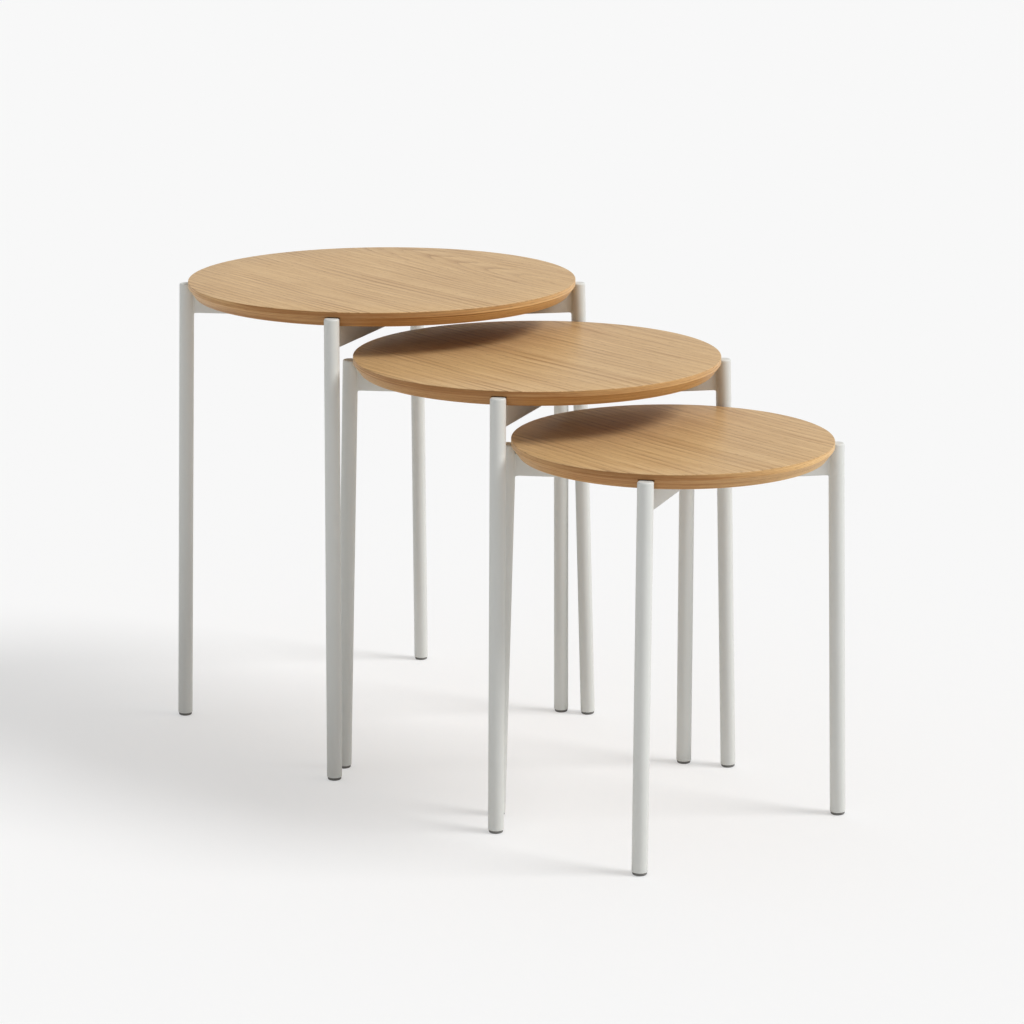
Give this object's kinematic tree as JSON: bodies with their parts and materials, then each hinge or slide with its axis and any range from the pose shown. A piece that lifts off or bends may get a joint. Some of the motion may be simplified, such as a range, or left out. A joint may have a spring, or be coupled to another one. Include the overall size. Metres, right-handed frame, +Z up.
{
  "type": "nesting tables",
  "caption": "Set of round nesting side tables with oak veneered tops and slim white steel legs that stand in notches in the top's edge.",
  "frame": {"origin": "on the floor, in the middle of the outline of the whole set as pictured", "axes": "+X is the direction in which the smaller tables are pulled out, +Y is to the left of it, +Z is up"},
  "size_m": [0.826, 0.422, 0.5],
  "materials": {
    "oak_face": "satin",
    "oak_back": "matt",
    "oak_edge": "satin",
    "board_core": "raw",
    "white_steel": "satin powder coat",
    "glide": "matt",
    "screw": "zinc plated"
  },
  "bodies": {
    "large_table": {"large_face_veneer": "oak_face", "large_top_core": "board_core", "large_back_veneer": "oak_back", "large_edge_lipping": "oak_edge", "large_leg_caps": "white_steel", "large_foot_glides": "glide", "large_fixing_tabs": "white_steel", "large_screws": "screw", "large_leg_front_left": "white_steel", "large_leg_rear_left": "white_steel", "large_leg_rear_right": "white_steel", "large_leg_front_right": "white_steel", "large_bar_front_left": "white_steel", "large_bar_rear_left": "white_steel", "large_bar_rear_right": "white_steel", "large_bar_front_right": "white_steel"},
    "medium_table": {"medium_face_veneer": "oak_face", "medium_top_core": "board_core", "medium_back_veneer": "oak_back", "medium_edge_lipping": "oak_edge", "medium_leg_caps": "white_steel", "medium_foot_glides": "glide", "medium_fixing_tabs": "white_steel", "medium_screws": "screw", "medium_leg_front_left": "white_steel", "medium_leg_rear_left": "white_steel", "medium_leg_rear_right": "white_steel", "medium_leg_front_right": "white_steel", "medium_bar_front_left": "white_steel", "medium_bar_rear_left": "white_steel", "medium_bar_rear_right": "white_steel", "medium_bar_front_right": "white_steel"},
    "small_table": {"small_face_veneer": "oak_face", "small_top_core": "board_core", "small_back_veneer": "oak_back", "small_edge_lipping": "oak_edge", "small_leg_caps": "white_steel", "small_foot_glides": "glide", "small_fixing_tabs": "white_steel", "small_screws": "screw", "small_leg_front_left": "white_steel", "small_leg_rear_left": "white_steel", "small_leg_rear_right": "white_steel", "small_leg_front_right": "white_steel", "small_bar_front_left": "white_steel", "small_bar_rear_left": "white_steel", "small_bar_rear_right": "white_steel", "small_bar_front_right": "white_steel"}
  },
  "joints": [
    {"name": "medium_slide", "type": "slide", "parent": "large_table", "child": "medium_table", "axis": [1, 0, 0], "range_m": [0, 0.42]},
    {"name": "small_slide", "type": "slide", "parent": "medium_table", "child": "small_table", "axis": [1, 0, 0], "range_m": [0, 0.36]}
  ]
}
